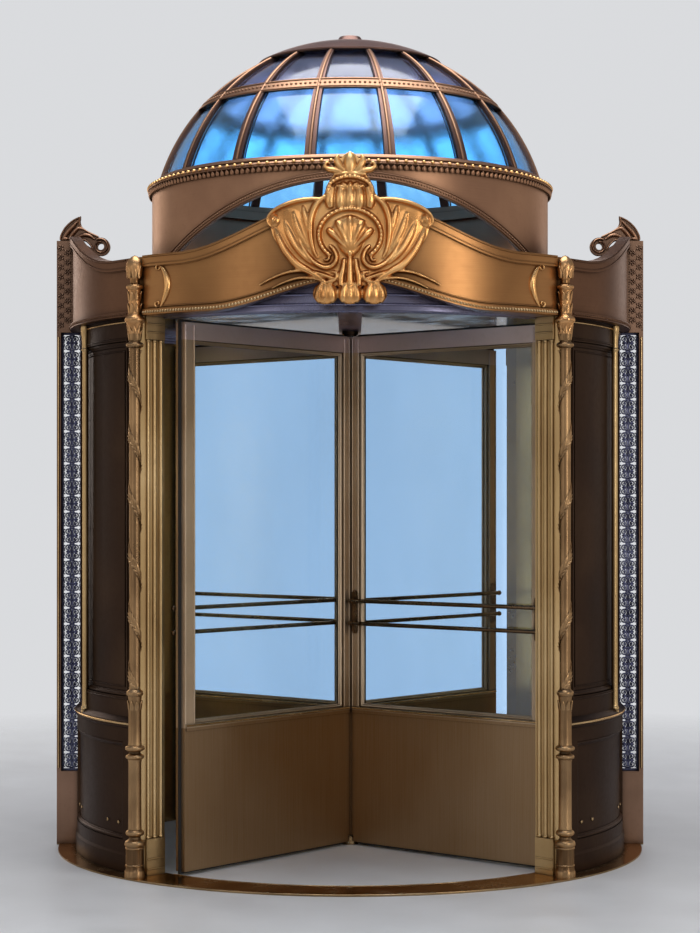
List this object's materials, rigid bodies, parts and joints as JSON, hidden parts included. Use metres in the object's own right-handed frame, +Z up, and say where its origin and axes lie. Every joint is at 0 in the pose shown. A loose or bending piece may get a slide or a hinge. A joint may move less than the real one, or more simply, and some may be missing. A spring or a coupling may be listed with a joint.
{
  "type": "revolving door",
  "caption": "Revolving door of glazed bronze wings in a round drum with spiral columns, an arched canopy with a crest, and a glazed ribbed dome.",
  "frame": {"origin": "on the floor at the rotor's axis, in the middle of the drum", "axes": "+Z up along the rotor's axis, -Y through the near opening, +X to the right seen from the near side"},
  "size_m": [2.56, 2.532, 3.5283],
  "materials": {
    "gilt_bronze": "gilded cast bronze, satin, darker in the hollows",
    "dark_bronze": "dark brown patinated bronze, satin",
    "satin_bronze": "satin statuary bronze",
    "polished_brass": "polished brass, lightly worn",
    "wrought_iron": "painted iron lace, satin",
    "door_glass": "clear plate glass",
    "ceiling_glass": "clear glass, faintly frosted",
    "dome_glass": "clear blue-tinted bent glass",
    "seal_rubber": "black rubber and brush seals"
  },
  "bodies": {
    "surround": {"threshold_ring": "polished_brass", "floor_bearing": "polished_brass", "head_bearing": "dark_bronze", "ceiling_ring": "satin_bronze", "ceiling_glass": "ceiling_glass", "canopy_ring": "dark_bronze", "canopy_deck": "dark_bronze", "wall_front_left": "dark_bronze", "wall_front_right": "dark_bronze", "wall_back_right": "dark_bronze", "wall_back_left": "dark_bronze", "jamb_front_left": "gilt_bronze", "jamb_front_right": "gilt_bronze", "jamb_back_right": "gilt_bronze", "jamb_back_left": "gilt_bronze", "column_front_left": "gilt_bronze", "column_front_right": "gilt_bronze", "column_back_right": "gilt_bronze", "column_back_left": "gilt_bronze", "side_pier_left": "dark_bronze", "side_pier_right": "dark_bronze", "side_grille_left": "wrought_iron", "side_grille_right": "wrought_iron", "canopy_band_front": "gilt_bronze", "canopy_band_back": "gilt_bronze", "canopy_band_left": "gilt_bronze", "canopy_band_right": "gilt_bronze", "crest_front": "gilt_bronze", "crest_back": "gilt_bronze", "attic_front": "gilt_bronze", "attic_back": "gilt_bronze", "cornice": "gilt_bronze", "dome_rings": "gilt_bronze", "dome_ribs": "gilt_bronze", "dome_glass": "dome_glass", "dome_crown": "gilt_bronze"},
    "rotor": {"center_shaft": "dark_bronze", "wing_frame_1": "satin_bronze", "wing_frame_2": "satin_bronze", "wing_frame_3": "satin_bronze", "wing_frame_4": "satin_bronze", "wing_glass": "door_glass", "push_bars": "polished_brass", "wing_seals": "seal_rubber"}
  },
  "joints": [
    {"name": "rotor_spin", "type": "hinge", "parent": "surround", "child": "rotor", "pos_m": [0, 0, 0], "axis": [0, 0, 1], "continuous": true}
  ]
}
